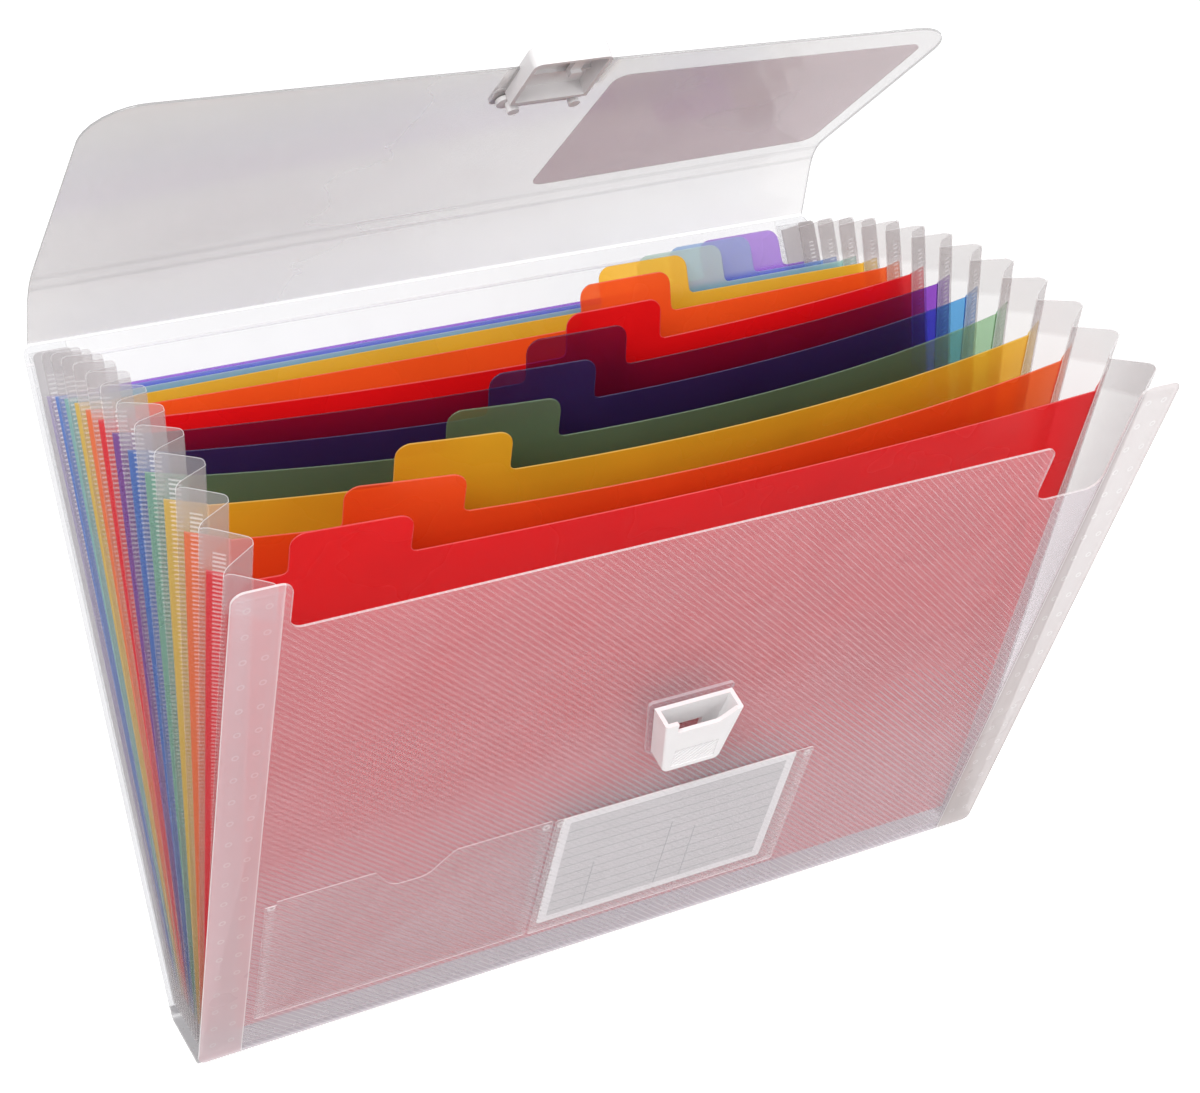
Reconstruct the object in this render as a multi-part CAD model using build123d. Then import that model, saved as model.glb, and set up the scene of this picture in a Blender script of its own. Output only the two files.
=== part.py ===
from build123d import *
import os
from math import cos, pi, radians, sin

# An expanding file: a folded casing of clear plastic sheet, twelve coloured
# dividers and a pleated gusset at each end. It stands on its base strip, fanned
# open, with its flap raised. X runs along the file, the front faces -Y, Z is up.
# The origin is the middle of the base strip's underside. Sizes are in millimetres.

# Casing sheet
casing_width = 330.0
base_depth = 31.0
casing_thickness = 0.8
fold_gap = 0.5
foot_gap = 0.8
open_angle = 24.0
fan_warp_angle = 2.8
front_height = 245.0
front_edge_height = 225.5
left_ear_width = 18.0
right_ear_width = 16.0
ear_round = 4.0
notch_width = 28.0
notch_depth = 26.0
notch_round = 6.0
foot_round = 3.0
back_height = 247.0
spine_angle = 21.5
flap_angle = 52.0
flap_width = 326.0
flap_length = 113.0
flap_round = 28.0
sheet_clearance = 0.3

# Dividers
pocket_count = 13
divider_thickness = 0.35
divider_bottom = 12.0
divider_height = 228.0
divider_round = 2.0
tab_width = 37.0
tab_height = 15.0
tab_round = 5.0
tab_margin = 10.0
colours = ("red", "orange", "yellow", "green", "blue", "violet")

# Gussets
gusset_depth = 12.5
gusset_edge_inset = 1.5
gusset_bottom = 5.0
gusset_top = 244.0
gusset_fold_top = 0.25
gusset_fold_bottom = 0.7
gusset_cover_gap = 1.2
flange_width = 14.0
flange_thickness = 0.3

# Front fittings
fastener_x = 2.0
catch_bottom = 114.0
catch_height = 26.0
catch_top_width = 30.0
catch_bottom_width = 22.0
catch_depth = 9.0
catch_wall = 1.6
catch_round = 2.5
catch_edge_round = 0.5
lip_drop = 4.5
lip_left = 10.0
lip_right = 6.5
lip_rise = 6.0
lip_round = 1.2
lip_rise_round = 4.0
window_width = 10.0
window_height = 7.0
window_bottom = 9.0
grip_width = 17.0
grip_height = 9.0
grip_bottom = 2.6
grip_recess = 0.4
grip_rib = 0.5
grip_spacing = 1.5
grip_angle = 40.0
backplate_thickness = 1.2
backplate_margin = 1.5
catch_peg_radius = 1.6
catch_peg_spread = 14.0
catch_peg_bottom = 5.0
peg_clearance = 0.1
film_thickness = 0.25
film_bottom = 20.0
film_top = 90.0
label_left = -41.0
label_right = 64.0
card_left = -38.0
card_width = 95.0
card_bottom = 25.0
card_height = 64.0
card_thickness = 0.3
card_clearance = 0.1
card_round = 1.0
pocket_left = -146.0
pocket_gap = 1.0
pocket_step = 2.0
thumb_left = 38.5
thumb_fall = 6.5
thumb_floor = 13.0
thumb_rise = 9.5
thumb_depth = 10.5
thumb_round = 7.0
thumb_edge_round = 3.0

# Flap fittings
flap_label_left = 29.0
flap_label_width = 128.0
flap_label_bottom = 10.0
flap_label_height = 86.0
flap_label_round = 7.0
flap_label_thickness = 0.2
clip_width = 29.0
clip_reach = 12.0
clip_inset = 16.0
clip_wall = 1.5
clip_depth = 5.0
clip_floor = 1.6
clip_round = 3.0
clip_edge_round = 0.5
clip_clearance = 0.3
clip_root_width = 35.0
clip_root_length = 9.0
clip_rib = 1.2
clip_rib_height = 2.0
clip_rib_place = 12.0
clip_block_width = 26.0
clip_block_length = 8.0
clip_block_height = 3.6
clip_ridge_width = 22.0
clip_ridge_length = 8.0
clip_ridge_height = 1.6
clip_ridge_gap = 3.0
retainer_width = 33.0
retainer_length = 7.0
retainer_thickness = 1.6
clip_peg_radius = 2.1
clip_peg_spread = 23.0
clip_peg_height = 3.5
finger_x = 5.0
finger_width = 4.0
finger_length = 13.0
finger_thickness = 1.6
finger_lift = 1.4
finger_hook = 1.2
finger_hook_length = 3.0
overrun = 1.0

half_sheet = casing_thickness / 2
half_width = casing_width / 2
fold_height = half_sheet


def leaf_plane(y, z, lean):
    """Plane of a sheet: local X along the file, local Y up the sheet, which leans back by lean."""
    up = (0, sin(radians(lean)), cos(radians(lean)))
    normal = (0, -up[2], up[1])
    return Plane(origin=(0, y, z), x_dir=(1, 0, 0), z_dir=normal)


def outline(points, radii):
    """Face inside a closed outline whose corners are rounded by the radii."""
    return make_face(FilletPolyline(*points, radius=radii, close=True))


def rectangle(left, right, bottom, top, radius):
    """Face of an upright rectangle with one corner radius."""
    points = [(left, bottom), (right, bottom), (right, top), (left, top)]
    return outline(points, [radius] * len(points))


def slab(face, low, high):
    """Solid that fills the face from one height above its plane to another."""
    return Pos(0, 0, low) * extrude(face, amount=high - low)


def sheet(face, thickness):
    """Solid of a sheet with its middle in the face's plane."""
    return slab(face, -thickness / 2, thickness / 2)


def block(left, right, bottom, top, low, high):
    """Box between the given limits."""
    size = (right - left, top - bottom, high - low)
    place = Pos((left + right) / 2, (bottom + top) / 2, (low + high) / 2)
    return place * Box(*size)


def peg(x, y, radius, low, high):
    """Round peg that stands on the sheet's plane."""
    return slab(Pos(x, y) * Circle(radius), low, high)


def fan_place(share):
    """Foot and lean of the fan at a share of the way from the front cover to the back cover."""
    y = base_depth * (share - 1 / 2)
    lean = open_angle * (2 * share - 1) + fan_warp_angle * sin(pi * share)
    return y, lean


front_plane = leaf_plane(-base_depth / 2, fold_height, -open_angle)
back_plane = leaf_plane(base_depth / 2, fold_height, open_angle)
spine_origin = back_plane.from_local_coords((0, back_height, 0))
spine_plane = leaf_plane(spine_origin.Y, spine_origin.Z, -spine_angle)
spine_length = base_depth
flap_origin = spine_plane.from_local_coords((0, spine_length, 0))
flap_plane = leaf_plane(flap_origin.Y, flap_origin.Z, -flap_angle)

nodes = {}


# Base strip between the two lower folds
base_half = base_depth / 2 - sheet_clearance
base_face = rectangle(-half_width, half_width, -base_half, base_half, foot_round)
nodes["base_strip"] = slab(base_face, 0, casing_thickness)


# Front panel with its two ears and the notch beside the right ear
def catch_pegs(radius, low, high):
    """The two pegs that hold the catch, at the given radius."""
    y = catch_bottom + catch_peg_bottom
    spread = catch_peg_spread / 2
    return peg(fastener_x - spread, y, radius, low, high) + peg(fastener_x + spread, y, radius, low, high)


right_ear = half_width - right_ear_width
left_ear = -half_width + left_ear_width
notch_bottom = front_edge_height - notch_depth
front_face = outline(
    [
        (-half_width, foot_gap),
        (half_width, foot_gap),
        (half_width, front_height),
        (right_ear, front_height),
        (right_ear, notch_bottom),
        (right_ear - notch_width, notch_bottom),
        (right_ear - notch_width, front_edge_height),
        (left_ear, front_edge_height),
        (left_ear, front_height),
        (-half_width, front_height),
    ],
    [foot_round, foot_round] + [ear_round] * 2 + [notch_round] * 2 + [ear_round] * 4,
)
peg_holes = catch_pegs(catch_peg_radius + peg_clearance, -half_sheet - overrun, half_sheet + overrun)
nodes["front_panel"] = front_plane * (sheet(front_face, casing_thickness) - peg_holes)


# Back panel, flap spine and flap
back_face = rectangle(-half_width, half_width, foot_gap, back_height - fold_gap, foot_round)
nodes["back_panel"] = back_plane * sheet(back_face, casing_thickness)

flap_half = flap_width / 2
spine_face = rectangle(-flap_half, flap_half, fold_gap, spine_length - fold_gap, 0)
nodes["flap_spine"] = spine_plane * sheet(spine_face, casing_thickness)


def clip_pegs(radius, low, high):
    """The two pegs that hold the clip, at the given radius."""
    y = flap_length - clip_inset - clip_root_length / 2
    spread = clip_peg_spread / 2
    return peg(fastener_x - spread, y, radius, low, high) + peg(fastener_x + spread, y, radius, low, high)


seat_half = clip_width / 2 + clip_clearance
seat_bottom = flap_length - clip_inset - clip_clearance
flap_face = outline(
    [
        (-flap_half, fold_gap),
        (flap_half, fold_gap),
        (flap_half, flap_length),
        (fastener_x + seat_half, flap_length),
        (fastener_x + seat_half, seat_bottom),
        (fastener_x - seat_half, seat_bottom),
        (fastener_x - seat_half, flap_length),
        (-flap_half, flap_length),
    ],
    [0, 0, flap_round, 0, 0, 0, 0, flap_round],
)
clip_holes = clip_pegs(clip_peg_radius + peg_clearance, -half_sheet - overrun, half_sheet + overrun)
nodes["flap_panel"] = flap_plane * (sheet(flap_face, casing_thickness) - clip_holes)


# Dividers, each a sheet with one tab that steps from left to right
gusset_outside = half_width - gusset_edge_inset
gusset_inside = gusset_outside - gusset_depth
divider_half = gusset_inside - sheet_clearance
divider_count = pocket_count - 1
tab_first = -divider_half + tab_margin
tab_step = (2 * (divider_half - tab_margin) - tab_width) / (divider_count - 1)


def divider(number):
    """One divider in its own leaning plane."""
    left = tab_first + (number - 1) * tab_step
    right = left + tab_width
    top = divider_height + tab_height
    face = outline(
        [
            (-divider_half, divider_bottom),
            (divider_half, divider_bottom),
            (divider_half, divider_height),
            (right, divider_height),
            (right, top),
            (left, top),
            (left, divider_height),
            (-divider_half, divider_height),
        ],
        [divider_round] * 4 + [tab_round] * 2 + [divider_round] * 2,
    )
    y, lean = fan_place(number / pocket_count)
    return leaf_plane(y, fold_height, lean) * sheet(face, divider_thickness)


for number in range(1, divider_count + 1):
    colour = colours[(number - 1) % len(colours)]
    nodes[f"divider_{number:02d}_{colour}"] = divider(number)


# Gussets: one pleated strip a side, with its inner folds at the dividers
def gusset_section(side, reach, share, shift):
    """Upright slice through one fold of a gusset, reach from the middle of the file."""
    y, lean = fan_place(share)
    plane = leaf_plane(y + shift, fold_height, lean)
    corners = []
    for height, half in ((gusset_bottom, gusset_fold_bottom), (gusset_top, gusset_fold_top)):
        inward = min(max(reach, gusset_inside + half), gusset_outside - half)
        corners.append([(side * (inward - half), height), (side * (inward + half), height)])
    ring = [*corners[0], *reversed(corners[1])]
    return plane * make_face(Polyline(*ring, close=True))


def gusset(side):
    """The whole pleated strip of one side, from the front cover to the back cover."""
    last = 2 * pocket_count
    sections = []
    for fold in range(last + 1):
        reach = gusset_inside if fold % 2 == 0 else gusset_outside
        shift = gusset_cover_gap * ((fold == 0) - (fold == last)) / cos(radians(open_angle))
        sections.append(gusset_section(side, reach, fold / last, shift))
    return loft(sections, ruled=True)


nodes["left_gusset"] = gusset(-1)
nodes["right_gusset"] = gusset(1)


# End leaves of the gussets, welded on the inner faces of the covers
def flanges(plane, height, inward):
    """The two weld flanges of one cover, on the side of it that inward points to."""
    inner = inward * half_sheet
    outer = inward * (half_sheet + flange_thickness)
    low, high = min(inner, outer), max(inner, outer)
    start = gusset_outside - flange_width
    right = block(start, gusset_outside, gusset_bottom, height, low, high)
    left = block(-gusset_outside, -start, gusset_bottom, height, low, high)
    return plane * Compound([left, right])


nodes["front_weld_flanges"] = flanges(front_plane, front_height - ear_round, -1)
nodes["back_weld_flanges"] = flanges(back_plane, gusset_top, 1)


# Catch on the front panel: a tapered pocket, open at the top, with a stepped lip
def catch_outline(margin, top):
    """Tapered outline of the catch, shrunk by the margin on its sides and foot."""
    low = catch_bottom + margin
    taper = (catch_top_width - catch_bottom_width) / 2 / catch_height
    wide = catch_bottom_width / 2 - margin + taper * (top - catch_bottom)
    narrow = catch_bottom_width / 2 - margin + taper * margin
    points = [
        (fastener_x - narrow, low),
        (fastener_x + narrow, low),
        (fastener_x + wide, top),
        (fastener_x - wide, top),
    ]
    corner = max(catch_round - margin, catch_edge_round)
    return outline(points, [corner, corner, 0, 0])


catch_back = half_sheet
catch_front = catch_back + catch_depth
catch_top = catch_bottom + catch_height
catch_block = slab(catch_outline(0, catch_top), catch_back, catch_front)
front_rim = catch_block.faces().sort_by(Axis.Z)[-1].edges().sort_by(Axis.Y)[:-1]
catch_block = fillet(front_rim, catch_edge_round * 2)
catch_hollow = catch_outline(catch_wall, catch_top + overrun)
catch_cavity = slab(catch_hollow, catch_back + catch_wall, catch_front - catch_wall)
lip_low = catch_top - lip_drop
lip_over = catch_top + overrun
lip_end = fastener_x + lip_right + lip_rise
lip_face = outline(
    [
        (fastener_x - lip_left, lip_low),
        (fastener_x + lip_right, lip_low),
        (lip_end, catch_top),
        (lip_end, lip_over),
        (fastener_x - lip_left, lip_over),
    ],
    [lip_round, lip_rise_round, 0, 0, 0],
)
lip_cut = slab(lip_face, catch_front - catch_wall - overrun, catch_front + overrun)
window_low = catch_bottom + window_bottom
window_cut = block(
    fastener_x - window_width / 2,
    fastener_x + window_width / 2,
    window_low,
    window_low + window_height,
    catch_back - overrun,
    catch_back + catch_wall + overrun,
)
grip_low = catch_bottom + grip_bottom
grip_left = fastener_x - grip_width / 2
grip_face = rectangle(
    grip_left, grip_left + grip_width, grip_low, grip_low + grip_height, catch_edge_round
)
grip_cut = slab(grip_face, catch_front - grip_recess, catch_front + overrun)


def grip_ribs():
    """Slanting ribs in the recess of the grip pad."""
    reach = grip_width + grip_height
    count = int(reach / grip_spacing)
    middle = Pos(fastener_x, grip_low + grip_height / 2) * Rot(0, 0, grip_angle)
    bars = Sketch()
    for place in range(-count, count + 1):
        bars += middle * Pos(0, place * grip_spacing) * Rectangle(reach, grip_rib)
    return slab(bars & grip_face, catch_front - grip_recess, catch_front - grip_recess / 2)


catch_posts = catch_pegs(catch_peg_radius, -half_sheet - backplate_thickness, catch_back)
catch_shell = catch_block - catch_cavity - lip_cut - window_cut - grip_cut
nodes["catch_body"] = front_plane * (catch_shell + grip_ribs() + catch_posts)

plate_face = offset(catch_outline(0, catch_top), amount=backplate_margin)
plate_holes = catch_pegs(
    catch_peg_radius + peg_clearance, -half_sheet - backplate_thickness - overrun, -half_sheet + overrun
)
nodes["catch_backplate"] = front_plane * (
    slab(plate_face, -half_sheet - backplate_thickness, -half_sheet) - plate_holes
)


# Clear films welded on the front, and the card behind the label film
def pocket_outline():
    """Film of the small front pocket: a step at its left corner and a thumb cut in its top edge."""
    right = label_left - pocket_gap
    corner = pocket_left + thumb_left
    floor_left = corner + thumb_fall
    floor_right = floor_left + thumb_floor
    points = [
        (pocket_left, film_bottom),
        (right, film_bottom),
        (right, film_top),
        (floor_right + thumb_rise, film_top),
        (floor_right, film_top - thumb_depth),
        (floor_left, film_top - thumb_depth),
        (corner, film_top),
        (pocket_left + 2 * pocket_step, film_top),
        (pocket_left + 2 * pocket_step, film_top - pocket_step),
        (pocket_left, film_top - pocket_step),
    ]
    thumb_radii = [thumb_edge_round, thumb_round, thumb_round]
    step_radii = [0, 0, 0, 0]
    radii = [card_round, card_round, card_round, *thumb_radii, *step_radii]
    return outline(points, radii)


card_low = half_sheet + card_clearance / 2
card_high = card_low + card_thickness
film_low = card_high + card_clearance / 2
card_right = card_left + card_width
card_top = card_bottom + card_height
card_face = rectangle(card_left, card_right, card_bottom, card_top, card_round)
label_face = rectangle(label_left, label_right, film_bottom, film_top, card_round)
nodes["front_pocket_film"] = front_plane * slab(pocket_outline(), half_sheet, half_sheet + film_thickness)
nodes["label_film"] = front_plane * slab(label_face, film_low, film_low + film_thickness)
nodes["label_card"] = front_plane * slab(card_face, card_low, card_high)


# Label on the outside of the flap
flap_label_face = rectangle(
    flap_label_left,
    flap_label_left + flap_label_width,
    flap_label_bottom,
    flap_label_bottom + flap_label_height,
    flap_label_round,
)
nodes["flap_label"] = flap_plane * slab(flap_label_face, -half_sheet - flap_label_thickness, -half_sheet)


# Clip on the flap: a tray that reaches past the free edge, with a root plate and two pegs
clip_left = fastener_x - clip_width / 2
clip_right = fastener_x + clip_width / 2
clip_low = flap_length - clip_inset
clip_end = flap_length + clip_reach
clip_back = -half_sheet - clip_floor
tray_face = outline(
    [(clip_left, clip_low), (clip_right, clip_low), (clip_right, clip_end), (clip_left, clip_end)],
    [0, 0, clip_round, clip_round],
)
tray_block = slab(tray_face, clip_back, clip_depth)
tray_rim = tray_block.faces().sort_by(Axis.Z)[0].edges().sort_by(Axis.Y)[1:]
tray_block = fillet(tray_rim, clip_edge_round * 2)
inner_round = clip_round - clip_wall
hollow_face = outline(
    [
        (clip_left + clip_wall, clip_low + clip_wall),
        (clip_right - clip_wall, clip_low + clip_wall),
        (clip_right - clip_wall, clip_end - clip_wall),
        (clip_left + clip_wall, clip_end - clip_wall),
    ],
    [0, 0, inner_round, inner_round],
)
tray = tray_block - slab(hollow_face, -half_sheet, clip_depth + overrun)
root_low = clip_low - clip_root_length
root_half = clip_root_width / 2
root_face = rectangle(
    fastener_x - root_half, fastener_x + root_half, root_low, clip_low + clip_wall, clip_round / 2
)
root_plate = slab(root_face, clip_back, -half_sheet)
rib_y = clip_low + clip_rib_place
tray_rib = block(
    clip_left + clip_wall,
    clip_right - clip_wall,
    rib_y - clip_rib / 2,
    rib_y + clip_rib / 2,
    -half_sheet,
    -half_sheet + clip_rib_height - finger_lift / 2,
)


def outer_ridge(width, length, height, low):
    """Raised block across the outside of the clip."""
    left = fastener_x - width / 2
    face = rectangle(left, left + width, low, low + length, clip_edge_round)
    return slab(face, clip_back - height, clip_back)


block_low = root_low + clip_wall
root_block = outer_ridge(clip_block_width, clip_block_length, clip_block_height, block_low)
ridge_low = block_low + clip_block_length + clip_ridge_gap
tray_ridge = outer_ridge(clip_ridge_width, clip_ridge_length, clip_ridge_height, ridge_low)
peg_tip = half_sheet + retainer_thickness + clip_peg_height
clip_posts = clip_pegs(clip_peg_radius, -half_sheet, peg_tip)
clip_outside = root_plate + root_block + tray_ridge
nodes["clip_body"] = flap_plane * (tray + clip_outside + tray_rib + clip_posts)

retainer_y = clip_low - clip_root_length / 2
retainer_face = rectangle(
    fastener_x - retainer_width / 2,
    fastener_x + retainer_width / 2,
    retainer_y - retainer_length / 2,
    retainer_y + retainer_length / 2,
    retainer_length / 2 - sheet_clearance,
)
retainer_holes = clip_pegs(
    clip_peg_radius + peg_clearance, half_sheet - overrun, half_sheet + retainer_thickness + overrun
)
nodes["clip_retainer"] = flap_plane * (
    slab(retainer_face, half_sheet, half_sheet + retainer_thickness) - retainer_holes
)


# Spring finger inside the clip, rooted at the end wall, with a hook at its tip
finger_root = clip_end - clip_wall - clip_clearance
finger_tip = finger_root - finger_length
finger_low = -half_sheet + finger_lift
finger_left = fastener_x + finger_x - finger_width / 2
finger_right = finger_left + finger_width
finger_high = finger_low + finger_thickness
barb_end = finger_tip + finger_hook_length
finger_bar = block(finger_left, finger_right, finger_tip, finger_root, finger_low, finger_high)
finger_barb = block(
    finger_left, finger_right, finger_tip, barb_end, finger_high, finger_high + finger_hook
)
nodes["clip_finger"] = flap_plane * (finger_bar + finger_barb)


os.makedirs("parts", exist_ok=True)
for name, shape in nodes.items():
    export_step(shape, f"parts/{name}.step")
    print(name, "volume", round(shape.volume, 1), "mm3")

print("fold lines of the spine and the flap, y and z:")
print(round(spine_origin.Y, 3), round(spine_origin.Z, 3), round(flap_origin.Y, 3), round(flap_origin.Z, 3))
finger_middle = finger_low + finger_thickness / 2
finger_hinge = flap_plane.from_local_coords((0, finger_root, finger_middle))
print("root of the clip's finger, y and z:", round(finger_hinge.Y, 3), round(finger_hinge.Z, 3))
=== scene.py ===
# %% [markdown]
# # An accordion file folder
# The object is an expanding file of clear plastic. Its casing is one creased sheet, twelve coloured
# dividers stand in it like a fan, and a pleated strip closes each end. The solids already exist, so
# this lesson keeps the stiff ones as they are and makes the thin, bent sheets anew. It starts by
# loading those solids as a fixed frame: every new piece is placed by the same numbers.

# %% Load the solids as a fixed frame
import math

import bpy
import numpy as np
from mathutils import Matrix


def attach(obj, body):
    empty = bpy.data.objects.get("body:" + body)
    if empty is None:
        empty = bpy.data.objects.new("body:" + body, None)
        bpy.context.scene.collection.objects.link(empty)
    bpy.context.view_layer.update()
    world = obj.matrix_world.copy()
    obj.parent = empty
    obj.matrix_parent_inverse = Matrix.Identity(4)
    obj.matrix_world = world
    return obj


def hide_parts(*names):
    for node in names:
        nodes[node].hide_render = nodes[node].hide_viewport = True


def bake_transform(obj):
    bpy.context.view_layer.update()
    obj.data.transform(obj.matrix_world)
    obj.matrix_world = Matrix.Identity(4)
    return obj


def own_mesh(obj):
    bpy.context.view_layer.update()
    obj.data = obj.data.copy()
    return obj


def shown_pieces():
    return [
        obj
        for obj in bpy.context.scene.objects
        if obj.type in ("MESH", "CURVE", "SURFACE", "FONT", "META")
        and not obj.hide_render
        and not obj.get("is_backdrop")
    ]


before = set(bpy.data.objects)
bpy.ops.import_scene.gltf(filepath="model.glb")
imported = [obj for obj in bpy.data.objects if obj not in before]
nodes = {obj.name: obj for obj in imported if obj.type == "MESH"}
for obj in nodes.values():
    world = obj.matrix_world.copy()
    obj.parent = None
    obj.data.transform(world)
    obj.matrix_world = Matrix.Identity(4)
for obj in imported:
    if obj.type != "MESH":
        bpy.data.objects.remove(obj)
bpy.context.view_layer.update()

# %% [markdown]
# ## The camera
# The photograph was taken from the front left, a little above the file. A focal length, a place and
# three angles were found by matching corners of the file with their places in the picture. The
# camera's matrix is written from these angles, because aiming it with a constraint would hide the
# small roll of the picture.

# %% Camera at the photograph's angle
view_azimuth, view_height, view_roll = np.radians([-27.098, 24.452, -1.244])
view_place = np.array([-0.30883, -0.61374, 0.46804])
photo_width, focal_pixels, film_width = 1200, 2110.0, 36.0
clip_near, clip_far = 0.01, 50.0

backward = np.array([
    math.sin(view_azimuth) * math.cos(view_height),
    -math.cos(view_azimuth) * math.cos(view_height),
    math.sin(view_height),
])
level = np.array([math.cos(view_azimuth), math.sin(view_azimuth), 0])
upright = np.cross(backward, level)
rightward = math.cos(view_roll) * level + math.sin(view_roll) * upright
upward = math.cos(view_roll) * upright - math.sin(view_roll) * level

lens = bpy.data.cameras.new("camera")
lens.sensor_width = film_width
lens.lens = focal_pixels * film_width / photo_width
lens.clip_start, lens.clip_end = clip_near, clip_far
camera = bpy.data.objects.new("camera", lens)
bpy.context.scene.collection.objects.link(camera)
pose = np.eye(4)
pose[:3, :3] = np.stack([rightward, upward, backward], 1)
pose[:3, 3] = view_place
camera.matrix_world = Matrix(pose.tolist())
bpy.context.scene.camera = camera
print("lens", round(lens.lens, 2), "mm")

# %% [markdown]
# ## A fan of leaves
# All leaves of the file stand on the base strip and lean like the pages of an open book. One number,
# the share of the way from the front cover (0) to the back cover (1), tells where a leaf stands and
# how far it leans. A point is then found by going up the leaf from its foot. Working this out for
# whole arrays of points at once keeps the later pieces short.

# %% The fan's shape
base_depth, open_angle, warp_angle, fold_height = 31.0, 24.0, 2.8, 0.4
pocket_count = 13
fold_count = 2 * pocket_count


def fan_lean(share):
    """Lean in degrees: evenly from front to back, plus a half sine that pushes the middle backwards."""
    return open_angle * (2 * share - 1) + warp_angle * np.sin(np.pi * share)


def fan_points(share, x, height, off=0.0):
    """Points in millimetres: up a leaf by height from its foot, then off along the leaf's front normal."""
    lean = np.radians(fan_lean(share))
    y = base_depth * (share - 0.5) + height * np.sin(lean) - off * np.cos(lean)
    z = fold_height + height * np.cos(lean) + off * np.sin(lean)
    return np.stack(np.broadcast_arrays(x, y, z), -1)


print("divider leans", np.round(fan_lean(np.arange(1, pocket_count) / pocket_count), 1))

# %% [markdown]
# ## Thin sheets from grids
# Plastic sheet could be a flat mesh with a Solidify modifier, but that closes every free edge, also
# where two pieces of one sheet meet. Here a grid of points is moved half the thickness to both sides
# and a rim is laid only along real cut edges. A point attribute marks these edges, because cut
# plastic shines there and the finishes will ask for it.

# %% Sheet maker
def sheet_shell(points, place, cut=None, keep=None, half=0.2):
    """Two layers at plus and minus half along the grid's normal, the cross product of its two directions."""
    rows, columns = points.shape[:2]
    count = rows * columns
    normal = np.cross(np.gradient(points, axis=1), np.gradient(points, axis=0))
    normal /= np.linalg.norm(normal, axis=-1, keepdims=True) + 1e-12
    number = np.arange(count).reshape(rows, columns)
    quads = np.stack([number[:-1, :-1], number[:-1, 1:], number[1:, 1:], number[1:, :-1]], -1)
    quads = quads.reshape(-1, 4) if keep is None else quads[keep]
    pairs = np.stack([quads, np.roll(quads, -1, 1)], -1).reshape(-1, 2)
    _, first, uses = np.unique(np.sort(pairs, 1), axis=0, return_index=True, return_counts=True)
    free = pairs[first[uses == 1]]
    if cut is not None:
        free = free[cut.ravel()[free].all(1)]
    rim = np.stack([free[:, 1], free[:, 0], free[:, 0] + count, free[:, 1] + count], -1)
    edge = np.zeros(2 * count)
    edge[rim.ravel()] = 1
    faces = np.concatenate([quads, quads[:, ::-1] + count, rim])
    spots = np.concatenate([points + half * normal, points - half * normal]).reshape(-1, 3)
    used, faces = np.unique(faces, return_inverse=True)
    marks = np.concatenate([place, place]).reshape(-1, 2)
    return spots[used], faces.reshape(-1, 4), marks[used], edge[used]


def make_sheet(name, shells, material):
    """One object of one or more shells, in metres, with the grid's own place as UV map in millimetres."""
    starts = np.cumsum([0] + [len(shell[0]) for shell in shells[:-1]])
    spots = np.concatenate([shell[0] for shell in shells]) / 1000
    faces = np.concatenate([shell[1] + start for shell, start in zip(shells, starts)])
    marks = np.concatenate([shell[2] for shell in shells])
    edge = np.concatenate([shell[3] for shell in shells])
    mesh = bpy.data.meshes.new(name)
    mesh.from_pydata(spots.tolist(), [], faces.tolist())
    layer = mesh.uv_layers.new(name="sheet")
    layer.data.foreach_set("uv", marks[faces.ravel()].astype(np.float32).ravel())
    mesh.attributes.new("edge", "FLOAT", "POINT").data.foreach_set("value", edge.astype(np.float32))
    mesh.polygons.foreach_set("use_smooth", np.ones(len(faces), bool))
    mesh.materials.append(material)
    piece = bpy.data.objects.new(name, mesh)
    bpy.context.scene.collection.objects.link(piece)
    return piece


def bend(piece, weight):
    """Bakes the piece's transform into its mesh; the weight is not used."""
    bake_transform(piece)


print("sheet maker ready")

# %% [markdown]
# ## Shader values as Python expressions
# A finish is a graph of nodes. Written by hand it soon gets long, so a small class stands for one
# socket of the graph: adding or multiplying two of them adds a Math node. Patterns such as stripes
# and rings are then short formulas of the distance to the nearest line.

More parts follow.
